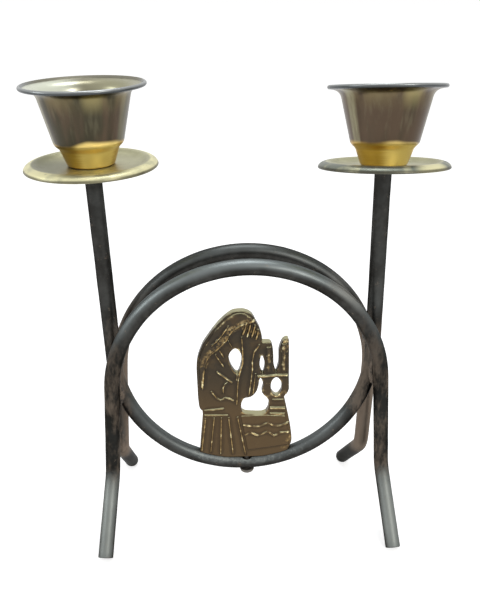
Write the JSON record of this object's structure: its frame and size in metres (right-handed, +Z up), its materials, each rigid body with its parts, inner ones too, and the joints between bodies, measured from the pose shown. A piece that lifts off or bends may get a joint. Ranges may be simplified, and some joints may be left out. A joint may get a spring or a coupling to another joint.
{
  "type": "two-arm candelabra",
  "caption": "Candle holder of bent round steel rod: a loop with two columns stands between two arched legs, with drip pans, bell cups and a cast openwork figure.",
  "frame": {"origin": "on the table under the middle of the whole piece", "axes": "+Z up, +X to the viewer's right along the row of the two candles, +Y away from the viewer"},
  "size_m": [0.1656, 0.0712, 0.2052],
  "materials": {
    "rod_steel": "dark gunmetal grey, worn, with rust-brown patches on the legs",
    "weld": "dark, rough weld metal",
    "pan_brass": "dulled yellow-olive brass with a paler rim",
    "cup_brass": "tarnished brass, bright gold at the neck, pale grey-olive inside",
    "screw_steel": "blackened steel",
    "cast_bronze": "dark brown cast bronze with rubbed golden edges"
  },
  "bodies": {
    "root": {"candle_rod": "rod_steel", "front_arch": "rod_steel", "rear_arch": "rod_steel", "weld_front_left": "weld", "weld_front_right": "weld", "weld_rear_left": "weld", "weld_rear_right": "weld", "left_drip_pan": "pan_brass", "right_drip_pan": "pan_brass", "left_cup": "cup_brass", "right_cup": "cup_brass", "left_cup_screw": "screw_steel", "right_cup_screw": "screw_steel", "figure_plate": "cast_bronze", "figure_screw": "screw_steel"}
  },
  "joints": []
}
